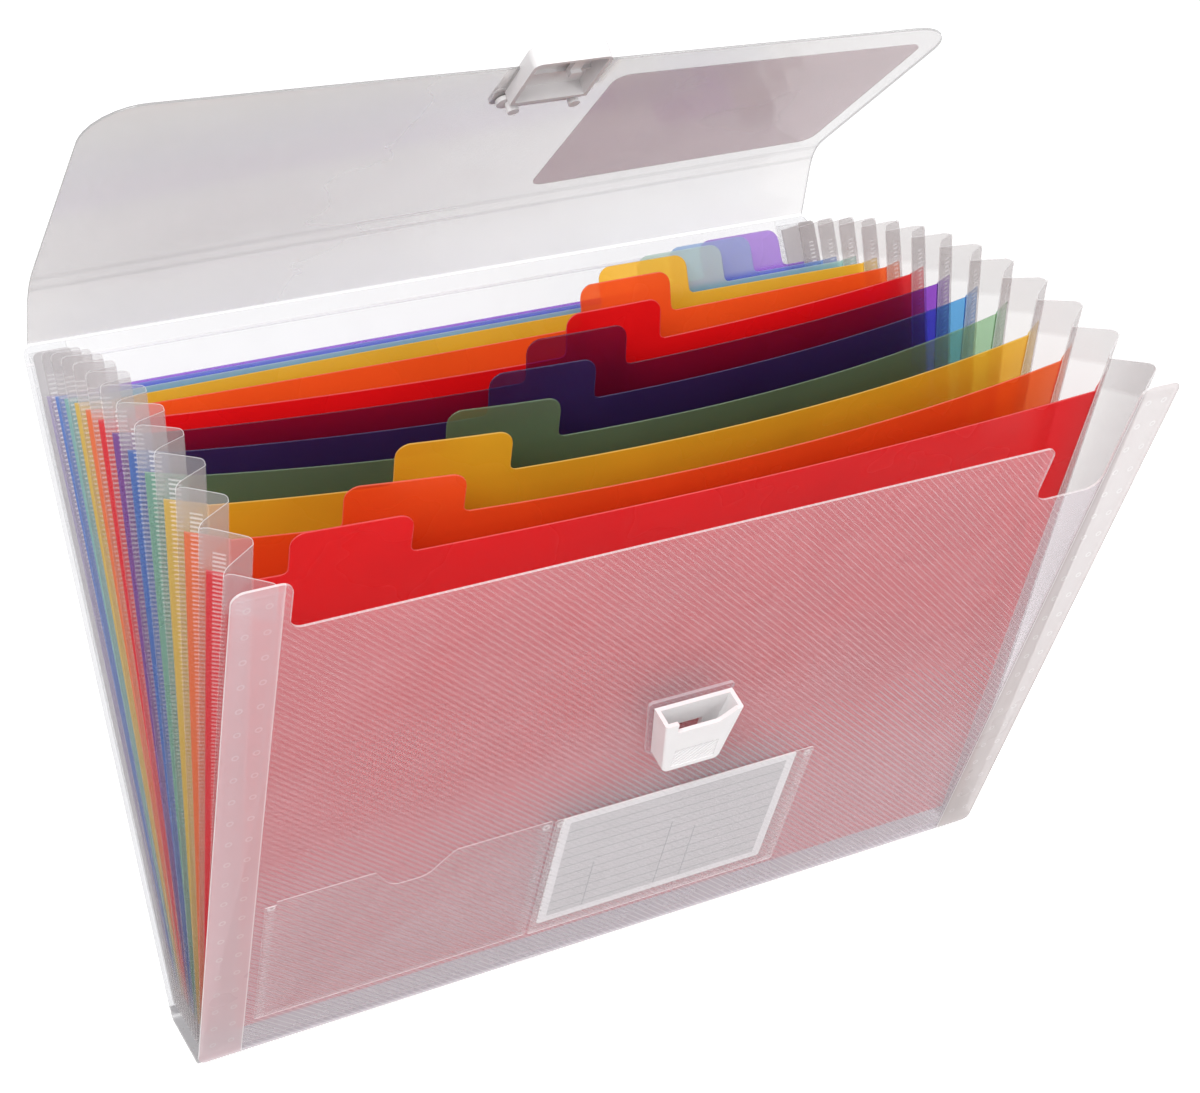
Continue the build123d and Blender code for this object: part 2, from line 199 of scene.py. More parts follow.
# %% Shade, a value in a material
class Shade:
    """A socket in a node tree. Sums and products of shades add Math nodes to the tree."""

    def __init__(self, tree, socket=None):
        self.tree, self.socket = tree, socket

    def node(self, kind, settings=None, sockets=None, out=0):
        """A new node: its settings first, then a value or a link for each named socket."""
        made = self.tree.nodes.new(kind)
        for key, value in (settings or {}).items():
            setattr(made, key, value)
        for key, value in (sockets or {}).items():
            if isinstance(value, Shade):
                self.tree.links.new(value.socket, made.inputs[key])
            else:
                made.inputs[key].default_value = value
        return Shade(self.tree, made.outputs[out] if len(made.outputs) else None)

    def maths(self, operation, *values):
        """A Math node on these values."""
        return self.node("ShaderNodeMath", {"operation": operation}, dict(enumerate(values)))

    def __add__(self, other):
        return self.maths("ADD", self, other)

    def __sub__(self, other):
        return self.maths("SUBTRACT", self, other)

    def __rsub__(self, other):
        return self.maths("SUBTRACT", other, self)

    def __mul__(self, other):
        return self.maths("MULTIPLY", self, other)

    def __abs__(self):
        return self.maths("ABSOLUTE", self)

    __radd__, __rmul__ = __add__, __mul__

    def most(self, other):
        """The larger of two values."""
        return self.maths("MAXIMUM", self, other)

    def least(self, other):
        """The smaller of two values."""
        return self.maths("MINIMUM", self, other)

    def remainder(self, step):
        """What is left of a value after whole steps."""
        return self.maths("MODULO", self, step)

    def smooth(self, start, end):
        """0 at start, 1 at end and a soft S between them; start may be the larger."""
        sockets = {"Value": self, "From Min": start, "From Max": end}
        return self.node("ShaderNodeMapRange", {"interpolation_type": "SMOOTHSTEP"}, sockets)

    def band(self, low, high, soft):
        """1 between low and high, falling to 0 over soft at both sides."""
        return self.smooth(low - soft, low) * self.smooth(high + soft, high)

    def nearest(self, spacing):
        """Distance to the nearest multiple of spacing."""
        return self.maths("PINGPONG", self, spacing / 2)

    def ring(self, other, low, high, soft):
        """1 where the length of the pair (self, other) is between low and high."""
        return self.maths("SQRT", self * self + other * other).band(low, high, soft)

    def mix(self, first, second):
        """Colour from first to second as this value goes from 0 to 1."""
        colours = [c if isinstance(c, Shade) else (*c, 1) for c in (first, second)]
        sockets = {0: self, 6: colours[0], 7: colours[1]}
        return self.node("ShaderNodeMix", {"data_type": "RGBA"}, sockets, 2)

    def dot(self, vector):
        """Part of this vector along a fixed one."""
        sockets = {0: self, 1: vector}
        return self.node("ShaderNodeVectorMath", {"operation": "DOT_PRODUCT"}, sockets, "Value")

    def mottle(self, scale, detail=2.0):
        """Soft random cloud over this place, about 0.5."""
        return self.node("ShaderNodeTexNoise", {}, {"Vector": self, "Scale": scale, "Detail": detail})


def new_material(name):
    """An empty material and the shade that builds its nodes."""
    material = bpy.data.materials.new(name)
    material.use_nodes = True
    material.node_tree.nodes.clear()
    return material, Shade(material.node_tree)


print("shader helper ready")

# %% [markdown]
# ## One recipe for clear sheet
# Polypropylene sheet lets part of the light straight through and scatters the rest in a milky, glossy
# body. Real refraction through forty thin layers is slow and noisy, so each face is a Mix Shader: a
# tinted Transparent shader and a Principled one. The share of the body changes over the surface, and
# a ray that crosses a sheet meets it twice, so the share of one face is 1 - sqrt(1 - share).

# %% Clear sheet and moulded plastic
plastic_ior = 1.5
sheet_bump, moulding_bump = {"Strength": 0.5, "Distance": 0.0003}, {"Strength": 0.4, "Distance": 0.0002}
edge_start, edge_full = 0.8, 0.5


def face_share(share):
    """Share of the body at one of the sheet's two faces, from the share of the whole sheet."""
    return 1 - math.sqrt(1 - share)


def clear_sheet(name, tint, recipe, gloss=0.5):
    """Material whose recipe gives body, colour, roughness and height over the surface."""
    material, shade = new_material(name)
    body, colour, rough, height = recipe(shade)
    sockets = {"Base Color": colour, "Roughness": rough, "IOR": plastic_ior, "Specular IOR Level": gloss}
    if height is not None:
        sockets["Normal"] = shade.node("ShaderNodeBump", {}, {**sheet_bump, "Height": height})
    scatter = shade.node("ShaderNodeBsdfPrincipled", {}, sockets)
    face_tint = (*[math.sqrt(part) for part in tint], 1)
    through = shade.node("ShaderNodeBsdfTransparent", {}, {"Color": face_tint})
    mixed = shade.node("ShaderNodeMixShader", {}, {0: body, 1: through, 2: scatter})
    shade.node("ShaderNodeOutputMaterial", {}, {"Surface": mixed})
    return material


def solid_plastic(name, recipe, gloss=0.5):
    """Opaque material whose recipe gives colour, roughness and height over the surface."""
    material, shade = new_material(name)
    colour, rough, height = recipe(shade)
    bump = shade.node("ShaderNodeBump", {}, {**moulding_bump, "Height": height})
    scatter = shade.node("ShaderNodeBsdfPrincipled", {}, {
        "Base Color": colour, "Roughness": rough, "Normal": bump,
        "IOR": plastic_ior, "Specular IOR Level": gloss,
    })
    shade.node("ShaderNodeOutputMaterial", {}, {"Surface": scatter})
    return material


def object_place(shade):
    """Place on the object in millimetres, from Object coordinates."""
    where = shade.node("ShaderNodeTexCoord", {}, {}, "Object")
    return shade.node("ShaderNodeVectorMath", {"operation": "SCALE"}, {0: where, "Scale": 1000.0})


def leaf_place(shade, lean, foot):
    """Place along a flat leaf, up it, and 1 at its cut edges, where the normal lies in the leaf."""
    lean = math.radians(lean)
    where = object_place(shade)
    along = where.dot((1, 0, 0))
    up = where.dot((0, math.sin(lean), math.cos(lean)))
    start = foot * math.sin(lean) + fold_height * math.cos(lean)
    normal = shade.node("ShaderNodeTexCoord", {}, {}, "Normal")
    facing = abs(normal.dot((0, -math.cos(lean), math.sin(lean))))
    return where, along, up - start, facing.smooth(edge_start, edge_full)


def sheet_place(shade):
    """Place on a new sheet: its UV map's two values in millimetres, and 1 at its cut edges."""
    where = shade.node("ShaderNodeUVMap", {"uv_map": "sheet"})
    along = where.dot((1, 0, 0))
    up = where.dot((0, 1, 0))
    edge = shade.node("ShaderNodeAttribute", {"attribute_name": "edge"}, {}, "Fac")
    return where, along, up, edge


print("sheet recipe ready")

# %% [markdown]
# ## The casing's finish
# The casing is milky clear sheet. Fine embossed lines run slantwise across the front, about 2 mm
# apart, and the ends carry a welded band with rings punched by the welding tool. All of this is
# drawn from the place on the leaf, so it needs no image and stays sharp in a close view.

# %% Marks in the casing's sheet
casing_white, casing_milk, edge_white = (0.80, 0.77, 0.78), (0.82, 0.735, 0.80), (0.93, 0.91, 0.92)
# the pink of the left band is painted light: the red strips behind it show through
band_red_glow, band_cream, band_grey = (0.92, 0.72, 0.75), (0.76, 0.69, 0.675), (0.52, 0.52, 0.54)
flap_milk, flap_edge = (0.75, 0.705, 0.69), (0.34, 0.33, 0.33)
# the grey of the base is painted shade: the base stands in its own shadow on the floor
back_milk, base_shade_grey = (0.62, 0.60, 0.61), (0.40, 0.385, 0.40)
band_start, band_middle = 149.5, 157.0
ring_spacing, ring_column, ring_inner, ring_outer = 10.8, 3.3, 0.8, 1.1
line_spacing, line_turn, line_edge, line_core = 1.94, math.radians(43.6), 0.28, 0.10


def embossed_lines(along, up):
    """1 on thin lines that run down to the right."""
    across = along * math.cos(line_turn) + up * math.sin(line_turn)
    return across.nearest(line_spacing).smooth(line_edge, line_core)


def weld_rings(along, up):
    """Rings in two columns on the welded bands, evenly spaced up the leaf."""
    column = abs(abs(abs(along) - band_middle) - ring_column)
    rings = column.ring(up.nearest(ring_spacing), ring_inner, ring_outer, 0.25)
    return rings * abs(along).smooth(band_start + 0.5, band_start + 1.5)


def band_edge(along):
    """1 on the thin line where the welded band starts."""
    return abs(along).band(band_start - 0.1, band_start + 0.1, 0.15)


print("lines", line_spacing, "mm apart, rings", ring_spacing, "mm apart")

# %% Front and back materials
back_crease = 240.0


def front_recipe(shade):
    """Front panel: lines in the middle, rings on the bands, whiter towards the foot as painted light from
    below, and milkier at the right.
    """
    where, along, up, edge = leaf_place(shade, -open_angle, -base_depth / 2)
    middle = 1 - abs(along).smooth(band_start - 0.4, band_start)
    line = embossed_lines(along, up) * middle
    rings = weld_rings(along, up)
    start = band_edge(along)
    cloud = where.mottle(0.035)
    # painted highlight on the fold at the foot
    foot = up.smooth(6.0, 0.0)
    right_band = along.smooth(band_start - 1.5, band_start + 2.5)
    # painted light: the body grows towards the foot, where light comes up from the pockets below; the right
    # band is milkier
    milk = up.smooth(170.0, 20.0) * 0.13 + right_band * 0.12
    marks = line * 0.07 + rings * 0.035 + start * 0.15
    body = face_share(0.28) + milk + marks + (1 - middle) * 0.17
    body = body + (cloud - 0.5) * 0.05 + edge * 0.3 + foot * 0.05
    # painted light: the left band is pink from the red behind it, the right band is cream
    band_glow_and_milk = along.smooth(-100.0, 100.0).mix(band_red_glow, band_cream)
    colour = (line + rings * 0.5 + start + edge).mix(middle.mix(band_glow_and_milk, casing_milk), edge_white)
    return body, colour, 0.22 + cloud * 0.16, line * 0.05 + rings * 0.3 + where.mottle(0.05)


def back_recipe(shade):
    """Back panel: plain, with one white crease below its top and greyer bands."""
    where, along, up, edge = leaf_place(shade, open_angle, base_depth / 2)
    crease = abs(up - back_crease).smooth(0.7, 0.3)
    rings = weld_rings(along, up)
    start = band_edge(along)
    cloud = where.mottle(0.035)
    marks = crease * 0.25 + rings * 0.06 + start * 0.1
    body = face_share(0.40) + marks + edge * 0.4 + (cloud - 0.5) * 0.05
    band = abs(along).smooth(band_start, band_start + 0.4)
    colour = (crease + rings + edge).mix(band.mix(back_milk, band_grey), edge_white)
    return body, colour, 0.14 + cloud * 0.12, crease + where.mottle(0.02) * 2.0


casing_front = clear_sheet("casing_front", (0.97, 0.95, 0.97), front_recipe)
casing_back = clear_sheet("casing_back", (0.96, 0.96, 0.97), back_recipe, 0.8)
print("finishes:", casing_front.name, casing_back.name)

# %% Base and flap materials
flap_crease, flap_crease_half, lip_height = 30.0, 3.0, 4.0


def base_recipe(shade):
    """Base: greyer at the left end, painted shade for the shadow it stands in, clearer along its creases."""
    where, along, run, edge = sheet_place(shade)
    cloud = where.mottle(0.05)
    crease = abs(run - lip_height).smooth(1.0, 0.3)
    body = face_share(0.70) - crease * 0.15 + edge * 0.2
    # painted shade: grey at the left end, white at the right
    colour = along.smooth(-150.0, 150.0).mix(base_shade_grey, casing_white)
    return body, (crease * 0.3 + edge * 0.5).mix(colour, edge_white), 0.2 + cloud * 0.15, cloud


def flap_recipe(shade):
    """Flap: a real fold at its foot, its clearer and whiter look a painted highlight for light it scatters
    from behind, two fine creases, milkier at the left, grey cut edges.
    """
    where, along, up, edge = sheet_place(shade)
    fold = abs(up).smooth(0.9, 0.35)
    crease = abs(abs(up - flap_crease) - flap_crease_half).smooth(0.8, 0.3)
    cloud = where.mottle(0.03)
    grey = along.smooth(150.0, -150.0) * 0.15 - up.smooth(45.0, 15.0) * 0.05
    # painted highlight: the fold is clearer and whiter, for the light it scatters from behind
    body = face_share(0.47) + grey - fold * 0.25 + crease * 0.08
    body = body + edge * 0.35 + (cloud - 0.5) * 0.05
    colour = (crease * 0.3).most(edge).mix(fold.mix(flap_milk, edge_white), flap_edge)
    return body, colour, 0.10 + cloud * 0.06, fold * 0.3


casing_base = clear_sheet("casing_base", (0.95, 0.95, 0.96), base_recipe)
casing_flap = clear_sheet("casing_flap", (0.96, 0.96, 0.97), flap_recipe, 1.0)
print("finishes:", casing_base.name, casing_flap.name)

# %% [markdown]
# ## Films, card and moulded fittings
# The pockets on the front are thin film welded along their edges, and the weld shows as a ladder of
# short marks. The card is plain white with a grey field and thin ruled lines. Catch and clip are white
# moulded plastic, a little softer in gloss; a faint cloud in colour and roughness keeps them from
# looking like paint.

# %% Film materials
weld_line, film_step, gusset_step = 151.0, 1.7, 1.6
ladder_inset, ladder_half = 2.2, 1.5
label_film_box, pocket_film_box = (-41.0, 64.0, 20.0, 90.0), (-146.0, -42.0, 20.0, 90.0)


def film_recipe(left, right, bottom, top):
    """Recipe for a film with weld ladders along its two upright edges and a welded foot."""

    def recipe(shade):
        where, along, up, edge = leaf_place(shade, -open_angle, -base_depth / 2)
        line = embossed_lines(along, up)
        side = abs(abs(along - (left + right) / 2) - (right - left) / 2 + ladder_inset)
        ladder = side.smooth(ladder_half, ladder_half - 0.3) * up.nearest(film_step).smooth(0.5, 0.25)
        corner = side.ring(up - (top - 3.0), 0.8, 1.4, 0.3)
        weld = (up - (bottom + 1.5)).band(-0.6, 0.6, 0.3)
        cloud = where.mottle(0.06)
        marks = line * 0.04 + ladder * 0.13 + corner * 0.22 + weld * 0.1
        body = face_share(0.24) + marks + edge * 0.4 + (cloud - 0.5) * 0.04
        colour = (ladder + corner + edge).mix(casing_white, edge_white)
        return body, colour, 0.2 + cloud * 0.15, ladder + corner + line * 0.4

    return recipe


def flange_recipe(shade):
    """Welded end leaf of a gusset: thin film with a ribbed weld at its inner edge."""
    where, along, up, edge = leaf_place(shade, -open_angle, -base_depth / 2)
    cloud = where.mottle(0.06)
    rib = up.nearest(gusset_step).smooth(0.45, 0.2) * abs(abs(along) - weld_line).smooth(1.4, 1.1)
    body = face_share(0.22) + rib * 0.15 + edge * 0.4
    return body, edge.mix(band_grey, edge_white), 0.2 + cloud * 0.15, rib


def plate_recipe(shade):
    """Clear plate behind the catch, paler at its cut edges."""
    where, _, _, edge = leaf_place(shade, -open_angle, -base_depth / 2)
    cloud = where.mottle(0.1)
    return face_share(0.3) + edge * 0.3, edge.mix(casing_milk, edge_white), 0.15 + cloud * 0.1, cloud


clear_plate = clear_sheet("clear_plate", (0.9, 0.9, 0.9), plate_recipe)
label_film = clear_sheet("label_film_clear", (0.97, 0.97, 0.97), film_recipe(*label_film_box))
pocket_film = clear_sheet("pocket_film_clear", (0.97, 0.96, 0.97), film_recipe(*pocket_film_box))
weld_flange = clear_sheet("weld_flange_clear", (0.97, 0.97, 0.97), flange_recipe)
print("films:", clear_plate.name, label_film.name, pocket_film.name, weld_flange.name)

# %% Card and moulding materials
card_left, card_right, card_bottom, card_top = -38.0, 57.0, 25.0, 89.0
card_posts = ((18.0, 56.0), (48.0, 67.0), (59.0, 60.0))
rule_step, rule_edge, rule_core, card_margin = 5.4, 0.32, 0.12, 3.6
card_white, card_field, card_ink = (0.86, 0.84, 0.86), (0.62, 0.60, 0.62), (0.36, 0.36, 0.38)
moulding_dark, moulding_light = (0.81, 0.79, 0.795), (0.87, 0.855, 0.86)


def card_recipe(shade):
    """Card: a grey field inside a white margin, level rules and three upright ones of given heights."""
    where, along, up, _ = leaf_place(shade, -open_angle, -base_depth / 2)
    wide = along.band(card_left + card_margin, card_right - card_margin, 0.15)
    field = wide * up.band(card_bottom + card_margin, card_top - card_margin, 0.15)
    lines = (up - card_bottom - 1.0).nearest(rule_step).smooth(rule_edge, rule_core)
    for place, height in card_posts:
        post = abs(along - (card_left + place)).smooth(rule_edge, rule_core)
        lines = lines + post * up.smooth(height + 0.2, height)
    frame_line = field.band(0.3, 0.7, 0.2)
    grain = where.mottle(0.8)
    ink = field * lines.least(1.0)
    tone = field.mix(card_white, card_field)
    colour = (ink * 0.9 + frame_line * 0.4).mix(tone, card_ink)
    return colour, 0.55 + grain * 0.2, grain


def moulding_recipe(shade):
    """White moulding: a faint cloud in colour and roughness, a fine grain."""
    where = object_place(shade)
    cloud = where.mottle(0.12)
    grain = where.mottle(2.2)
    colour = cloud.mix(moulding_dark, moulding_light)
    return colour, 0.28 + cloud * 0.16, grain * 0.5


white_moulding = solid_plastic("white_moulding", moulding_recipe)
ruled_card = solid_plastic("ruled_card", card_recipe)
print("opaque finishes:", white_moulding.name, ruled_card.name)

# %% Finishes on the solids
finishes = {
    "front_panel": casing_front, "back_panel": casing_back,
    "front_weld_flanges": weld_flange, "back_weld_flanges": weld_flange,
    "catch_body": white_moulding, "catch_backplate": clear_plate,
    "front_pocket_film": pocket_film, "label_film": label_film, "label_card": ruled_card,
    "clip_body": white_moulding, "clip_retainer": white_moulding, "clip_finger": white_moulding,
}
for name, material in finishes.items():
    nodes[name].data.materials.clear()
    nodes[name].data.materials.append(material)
print("solids with a finish:", len(finishes))

# %% [markdown]
# ## Dividers
# Each divider is a thin coloured sheet with one tab, and the tabs step from left to right. In the
# open file the sheets belly forwards, most in the middle of the stack. The grid runs along the file
# and up the sheet; the cells beside the tab are left out. Six colours repeat, and each is a clear
# sheet: where light comes from behind, at the ends, it looks brighter.
# The last three dividers get paler copies of their colours: painted light, for the light that comes through
# them from behind.

# %% Divider colours
# name: body colour, tint of the light that passes, colour of the welded end,
# then the share of the body at that end and in the sheet
divider_colours = {
    "red": ((0.83, 0.009, 0.013), (0.92, 0.07, 0.08), (0.82, 0.03, 0.05), 0.75, 0.80),
    "orange": ((0.97, 0.105, 0.025), (0.96, 0.30, 0.08), (0.95, 0.26, 0.10), 0.70, 0.70),
    "yellow": ((0.97, 0.54, 0.032), (0.96, 0.74, 0.14), (0.86, 0.60, 0.16), 0.70, 0.70),
    "green": ((0.28, 0.44, 0.22), (0.52, 0.80, 0.54), (0.22, 0.50, 0.36), 0.68, 0.38),
    "blue": ((0.12, 0.07, 0.32), (0.16, 0.52, 0.92), (0.05, 0.17, 0.60), 0.66, 0.24),
    "violet": ((0.16, 0.025, 0.11), (0.36, 0.10, 0.72), (0.20, 0.05, 0.40), 0.66, 0.22),
    # the pale copies are the same three sheets made lighter: painted light from behind
    "pale_green": ((0.40, 0.74, 0.78), (0.52, 0.84, 0.70), (0.40, 0.72, 0.66), 0.66, 0.60),
    "pale_blue": ((0.22, 0.36, 0.86), (0.30, 0.58, 0.94), (0.16, 0.30, 0.80), 0.66, 0.55),
    "pale_violet": ((0.40, 0.18, 0.88), (0.42, 0.16, 0.80), (0.34, 0.24, 0.78), 0.55, 0.45),
}
# the first number is how far the tabs of the pale copies are painted towards white: painted light from behind
tab_backlight, body_gloss, clear_gloss, dense_share = 0.8, 0.25, 1.0, 0.5
warm_colours = ("red", "orange", "yellow")
pale_word = "pale_"
# start and part of a colour: its pale marks, the dark and the light of its cloud
colour_steps = ((0.45, 0.55), (0.0, 0.93), (0.0, 1.07))


def divider_recipe(colour, end_colour, end_share, share, haze):
    """Recipe for one colour: ladder and weld line at the ends, another colour past the weld, a tab painted
    lighter for light from behind.
    """
    pale, dark, light = (tuple(start + part * c for c in colour) for start, part in colour_steps)
    end_more = face_share(end_share) - face_share(share)

    def recipe(shade):
        where, along, up, edge = sheet_place(shade)
        cloud = where.mottle(0.03)
        past = abs(along) - weld_line
        ladder = past.band(6.2, 9.6, 0.2) * up.nearest(gusset_step).smooth(0.5, 0.25)
        weld = abs(past).smooth(0.5, 0.2)
        end = past.smooth(0.0, 1.0)
        marks = ladder * 0.35 + weld * 0.3 + edge * 0.25
        body = face_share(share) + (cloud - 0.5) * 0.05 + marks * 0.3 + end * end_more
        # painted light: the tab turns towards white, for light that comes through it from behind
        tone = (up.smooth(226.0, 230.0) * haze).mix(cloud.mix(dark, light), edge_white)
        return body, marks.mix(end.mix(tone, end_colour), pale), 0.2 + cloud * 0.14, None

    return recipe


divider_materials = {}
for name, (colour, tint, end_colour, end_share, share) in divider_colours.items():
    # only the pale copies get the painted light on their tabs
    haze = tab_backlight if name.startswith(pale_word) else 0.0
    gloss = body_gloss if share > dense_share else clear_gloss
    recipe = divider_recipe(colour, end_colour, end_share, share, haze)
    divider_materials[name] = clear_sheet("divider_" + name, tint, recipe, gloss)
    divider_materials[name].use_transparent_shadow = name in warm_colours
print("divider colours:", ", ".join(divider_materials))

# %% Divider sheets
divider_half, divider_low, divider_top, divider_thick = 150.7, 12.0, 228.0, 0.35
tab_half, tab_height, tab_round, tab_foot = 18.5, 15.0, 5.0, 2.0
tab_first, tab_step = -140.7, 22.218
bellies = (5, 14, 17, 23, 22, 20, 22, 7, -5, 0, 0, 0)
# from this divider on, the pale copies with painted light from behind are used
first_pale, belly_left, belly_power = 10, 0.04, 1.5


def divider_shell(number):
    """Grid of a divider: straight below its top, then a tab with rounded corners and flared feet; off
    the plane by the belly, a parabola along the file times the height to the power 1.5."""
    middle = tab_first + tab_step * (number - 1) + tab_half
    wide = tab_half + tab_foot
    side = 1 - np.array([0, 0.4, 0.9, 1.7, 2.8, 4.0, 5.0]) / wide
    across = np.concatenate([-side, np.linspace(-side[-1], side[-1], 9)[1:-1], side[::-1]])
    left = np.array([0, 0.4, *np.linspace(4, middle - wide + divider_half, 16)]) - divider_half
    right = divider_half - np.array([0, 0.4, *np.linspace(4, divider_half - middle - wide, 16)])[::-1]
    columns = np.concatenate([left[:-1], middle + across * wide, right[1:]])
    is_tab = np.zeros(len(columns), bool)
    is_tab[len(left) - 1:len(left) - 1 + len(across)] = True
    share_across = np.where(is_tab, (columns - middle) / wide, 0)
    low_rows = np.array([0, 0.4, *np.linspace(8, 208, 18), 213, 215.6, 216]) + divider_low
    tab_rows = np.array([0.02, 0.05, 0.09, 0.14, 0.3, 0.5, 0.7, 0.88, 0.97, 1.0])[:, None]
    inset = np.minimum(tab_half * (1 - np.abs(share_across)), tab_round)
    crest = tab_height - tab_round + np.sqrt(tab_round**2 - (tab_round - inset) ** 2)
    rise = tab_rows * crest
    near = np.maximum(tab_foot - rise, 0)
    flare = tab_foot - np.sqrt(tab_foot**2 - near**2)
    x_low = np.broadcast_to(columns, (len(low_rows), len(columns)))
    x_tab = np.where(is_tab, middle + share_across * (tab_half + flare), columns)
    x = np.concatenate([x_low, x_tab])
    height = np.concatenate([np.broadcast_to(low_rows[:, None], x_low.shape), divider_top + rise])
    belly = bellies[number - 1] * (1 - (x / divider_half) ** 2) * (height / divider_top) ** belly_power
    points = fan_points(number / pocket_count, x, height, belly)
    keep = np.ones((len(x) - 1, len(columns) - 1), bool)
    keep[len(low_rows) - 1:] = (is_tab[1:] & is_tab[:-1])[None]
    return sheet_shell(points, np.stack([x, height], -1), keep=keep, half=divider_thick / 2)


def divider_finish(number, name):
    """Colour word of a divider and its material; the last ones get a pale copy, painted light from behind."""
    colour = name.split("_")[2]
    return colour, divider_materials[colour if number < first_pale else pale_word + colour]


divider_names = sorted(name for name in nodes if name.startswith("divider_"))
for number, name in enumerate(divider_names, 1):
    colour, finish = divider_finish(number, name)
    piece = make_sheet("sheet_" + name, [divider_shell(number)], finish)
    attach(piece, name)
    lean = math.radians(float(fan_lean(number / pocket_count)))
    foot = (0, base_depth * (number / pocket_count - 0.5) / 1000, fold_height / 1000)
    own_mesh(piece)
    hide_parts(name)
print("dividers:", len(divider_names), "faces in the last:", len(piece.data.polygons))

# %% [markdown]
# ## Pleated gussets and the dividers' welded ends
# A gusset is one thin clear strip folded to and fro: an inner fold at every divider, an outer fold
# between two of them. Its plan is a triangle wave with softened corners, written as an arc sine of a
# sine, and its leaves follow the fan. Each divider's end is bent on to the gusset and welded, which is
# why coloured strips show at the ends.

# %% Gusset finish
def gusset_recipe(share, front_share, film_colour):
    """Recipe for pleats with the given share: more on back pleats, at the top and the foot, which is painted
    shade, and at both ends.
    """

    def recipe(shade):
        where, fold, up, edge = sheet_place(shade)
        crease = fold.nearest(1.0).smooth(0.026, 0.008)
        way = fold.remainder(2.0)
        ladder = way.band(0.50, 0.72, 0.02) * up.nearest(gusset_step).smooth(0.42, 0.2)
        ladder = ladder * up.smooth(236.0, 235.0) * (0.6 + up.smooth(150.0, 232.0) * 0.4)
        cloud = where.mottle(0.05)
        # painted shade: more grey body on the back pleats, along the top and near the foot
        back_pleat_shade = way.band(1.0, 2.0, 0.02) * 0.48
        pleat_shade = up.smooth(226.0, 231.0).most(back_pleat_shade).most(up.smooth(32.0, 8.0) * 0.9)
        rear = fold.smooth(fold_count - 2.5, fold_count - 1.5) * 0.3
        front = fold.smooth(3.0, 1.0) * up.smooth(60.0, 160.0) * front_share
        body = face_share(share) + pleat_shade * 0.17 + rear + front + crease * 0.10 + ladder * 0.16 + edge * 0.25
        colour = (crease + ladder + edge).mix(film_colour, edge_white)
        return body + (cloud - 0.5) * 0.03, colour, 0.16 + cloud * 0.12, None

    return recipe


gusset_tint, gusset_gloss = (0.96, 0.95, 0.95), 0.3
# side: share of the film, more of it on the first pleats, colour of its body
# the right copy is the same film made denser and darker: painted shade
gusset_films = {"left": (0.06, 0.0, (0.54, 0.52, 0.53)), "right": (0.22, 0.16, (0.42, 0.38, 0.38))}
gusset_clear = {}
for word, film in gusset_films.items():
    recipe = gusset_recipe(*film)
    gusset_clear[word] = clear_sheet("gusset_clear_" + word, gusset_tint, recipe, gusset_gloss)
print("gusset finishes:", len(gusset_clear))

# %% Gusset strips
gusset_middle, gusset_swing, gusset_low, gusset_top, gusset_thick = 157.25, 6.1, 5.0, 244.0, 0.25
pleat_width, fold_softness, pleat_slope, cover_gap = 14.6, 0.992, 2.0, 1.0
inner_round, outer_round = 2.0, 3.0


def gusset_reach(fold):
    """Distance from the file's middle: a softened triangle wave, inner at even folds, outer at odd ones."""
    wave = np.arcsin(fold_softness * np.sin(np.pi * (fold - 0.5))) / np.arcsin(fold_softness)
    return gusset_middle + gusset_swing * wave


def round_fall(distance, radius):
    """Fall of a quarter round's edge at a distance from the fold, 0 past its radius."""
    near = np.maximum(radius - distance, 0)
    return radius - np.sqrt(np.maximum(radius**2 - near**2, 0))


def gusset_crest(fold):
    """Top of the gusset: quarter rounds at the inner and the outer folds, and a slope on back pleats."""
    way = np.mod(fold, 2)
    fall = round_fall(way * pleat_width, inner_round) + round_fall(np.abs(1 - way) * pleat_width, outer_round)
    return gusset_top - fall - np.where(way <= 1, 0, pleat_slope * (way - 1))


def gusset_shell(side, first, last):
    """Grid of pleats from one fold to another, on the side of the file that side's sign gives."""
    steps = np.array([0, 0.02, 0.05, 0.1, 0.2, 0.4, 0.6, 0.8, 0.9, 0.95, 0.98])
    fold = np.append((np.arange(first, last)[:, None] + steps).ravel(), last)
    rise = np.array([0, 0.001, *np.linspace(0.04, 0.97, 18), 0.986, 0.999, 1])[:, None]
    height = gusset_low + rise * (gusset_crest(fold) - gusset_low)
    gap = cover_gap * (np.maximum(1 - fold, 0) - np.maximum(fold - (fold_count - 1), 0))
    points = fan_points(fold / fold_count, side * gusset_reach(fold), height, -gap)
    mark = np.stack([np.broadcast_to(fold, height.shape), height], -1)
    cut = np.ones(height.shape, bool)
    cut[1:-1, 0] = first != pocket_count
    cut[1:-1, -1] = last != pocket_count
    return sheet_shell(points, mark, cut=cut, half=gusset_thick / 2)


gusset_count = 0
gusset_halves = (0, pocket_count, "front_cover", -1), (pocket_count, fold_count, "back_cover", 1)
for side, word in ((-1, "left"), (1, "right")):
    for first, last, cover, sign in gusset_halves:
        shell = gusset_shell(side, first, last)
        piece = make_sheet(f"pleats_{word}_{cover}", [shell], gusset_clear[word])
        bend(piece, sign * fan_lean(shell[2][:, 0] / fold_count) / open_angle)
        if cover == "front_cover":
            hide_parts(word + "_gusset")
        gusset_count += len(piece.data.polygons)
print("gussets: faces", gusset_count)

# %% Welded ends of the dividers
end_way, end_width, end_off, end_half_thick = 0.84, 14.0, 0.35, 0.1


